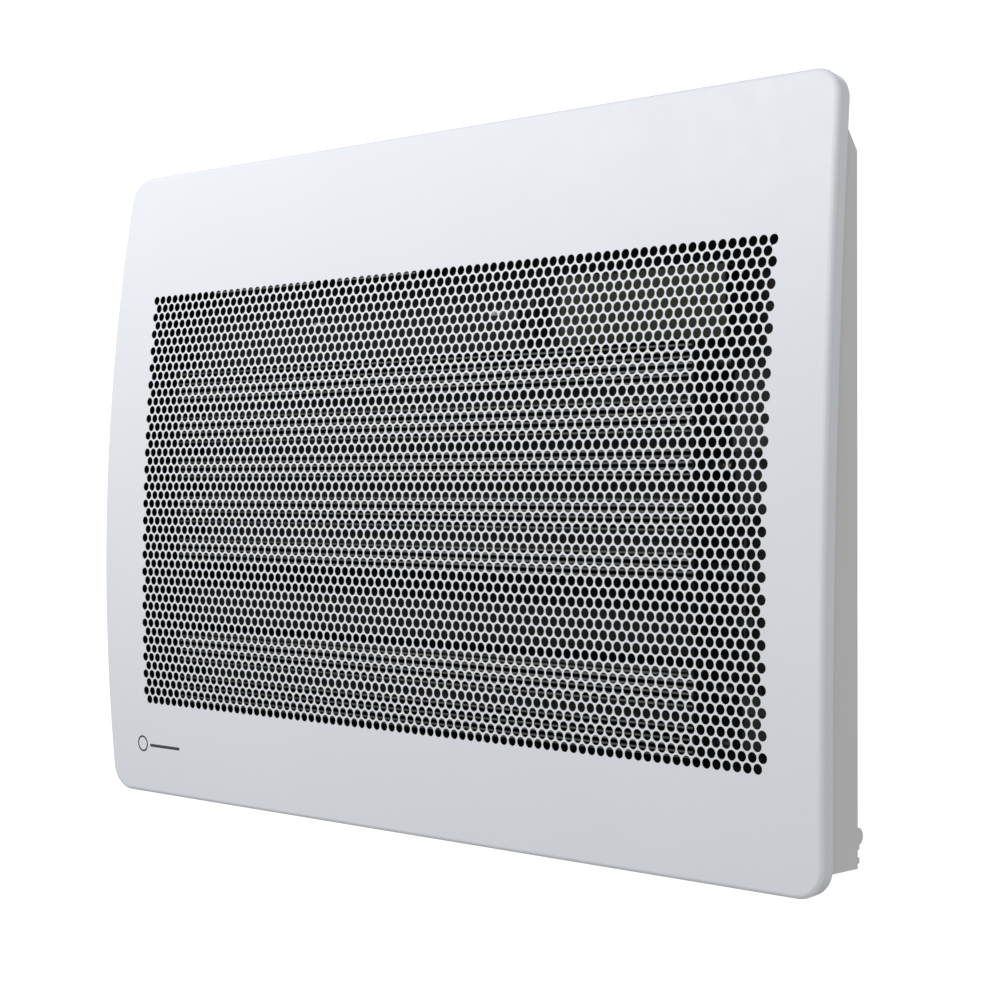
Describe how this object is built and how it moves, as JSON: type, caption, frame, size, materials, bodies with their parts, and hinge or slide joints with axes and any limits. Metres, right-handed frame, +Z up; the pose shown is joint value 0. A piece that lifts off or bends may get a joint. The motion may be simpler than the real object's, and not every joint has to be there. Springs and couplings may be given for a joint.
{
  "type": "wall-mounted panel heater",
  "caption": "White bowed perforated steel front over a shallow casing with finned emitters; it hooks on a wall bracket, tips forward on lower pins and has keys behind its top edge.",
  "frame": {"origin": "middle of the wall bracket's back face, on the wall plane", "axes": "+X to the right as seen from the front, +Y into the wall, +Z up"},
  "size_m": [0.6348, 0.075, 0.4416],
  "materials": {
    "powder_white": "fine satin powder coat, slightly blue white",
    "case_white": "satin powder coat",
    "zinc": "zinc plated steel, faint spangle",
    "aluminium": "extruded aluminium, darkened by heat",
    "bright_sheet": "thin bright sheet, slightly tarnished",
    "tube_steel": "heat-tinted steel sheath",
    "grey_plastic": "fine-grained moulding",
    "dark_plastic": "fine-grained moulding",
    "key_plastic": "soft-touch keys",
    "circuit": "lacquered board",
    "lens": "smoked, glossy"
  },
  "bodies": {
    "wall_bracket": {"bracket_rail_upper": "zinc", "bracket_rail_lower": "zinc", "bracket_spine": "zinc", "bracket_upright_left": "zinc", "bracket_upright_right": "zinc", "wall_screw_1": "zinc", "wall_screw_2": "zinc", "wall_screw_3": "zinc", "wall_screw_4": "zinc", "latch_guide_left": "dark_plastic", "latch_guide_right": "dark_plastic"},
    "heater": {"front_panel": "powder_white", "back_plate": "case_white", "top_plate": "case_white", "bottom_plate": "case_white", "side_cheek_left": "case_white", "side_cheek_right": "case_white", "pivot_pin_left": "zinc", "pivot_pin_right": "zinc", "latch_keeper_left": "zinc", "latch_keeper_right": "zinc", "cable_tray": "zinc", "cutout_bracket": "zinc", "emitter_bar_1": "aluminium", "emitter_bar_2": "aluminium", "emitter_bar_3": "aluminium", "emitter_bar_4": "aluminium", "emitter_bar_5": "aluminium", "emitter_bar_6": "aluminium", "emitter_bar_7": "aluminium", "emitter_bracket_left": "bright_sheet", "emitter_bracket_right": "bright_sheet", "reflector": "bright_sheet", "centre_shield": "bright_sheet", "board_shield": "bright_sheet", "heating_tube_1": "tube_steel", "heating_tube_2": "tube_steel", "heating_tube_3": "tube_steel", "heating_tube_4": "tube_steel", "heating_tube_5": "tube_steel", "heating_tube_6": "tube_steel", "heating_tube_7": "tube_steel", "control_housing": "grey_plastic", "control_fascia": "grey_plastic", "terminal_block": "grey_plastic", "safety_cutout": "dark_plastic", "power_relay": "dark_plastic", "cable_gland": "dark_plastic", "power_board": "circuit", "control_board": "circuit", "display_lens": "lens"},
    "latch_bolt_left": {"latch_bolt_left": "dark_plastic"},
    "latch_bolt_right": {"latch_bolt_right": "dark_plastic"},
    "key_mode": {"key_mode": "key_plastic"},
    "key_minus": {"key_minus": "key_plastic"},
    "key_plus": {"key_plus": "key_plastic"},
    "key_confirm": {"key_confirm": "key_plastic"},
    "power_rocker": {"power_rocker": "dark_plastic"}
  },
  "joints": [
    {"name": "heater_tilt", "type": "hinge", "parent": "wall_bracket", "child": "heater", "pos_m": [0, -0.021, -0.194], "axis": [1, 0, 0], "range_deg": [0, 20]},
    {"name": "latch_left_slide", "type": "slide", "parent": "wall_bracket", "child": "latch_bolt_left", "axis": [-1, 0, 0], "range_m": [0, 0.01]},
    {"name": "latch_right_slide", "type": "slide", "parent": "wall_bracket", "child": "latch_bolt_right", "axis": [1, 0, 0], "range_m": [0, 0.01]},
    {"name": "key_mode_press", "type": "slide", "parent": "heater", "child": "key_mode", "axis": [0, 0, -1], "range_m": [0, 0.0012], "stiffness_N_per_m": 400},
    {"name": "key_minus_press", "type": "slide", "parent": "heater", "child": "key_minus", "axis": [0, 0, -1], "range_m": [0, 0.0012], "stiffness_N_per_m": 400},
    {"name": "key_plus_press", "type": "slide", "parent": "heater", "child": "key_plus", "axis": [0, 0, -1], "range_m": [0, 0.0012], "stiffness_N_per_m": 400},
    {"name": "key_confirm_press", "type": "slide", "parent": "heater", "child": "key_confirm", "axis": [0, 0, -1], "range_m": [0, 0.0012], "stiffness_N_per_m": 400},
    {"name": "power_rocker_tip", "type": "hinge", "parent": "heater", "child": "power_rocker", "pos_m": [0.1652, -0.03165, 0.2085], "axis": [0, 1, 0], "range_deg": [-7, 7]}
  ]
}
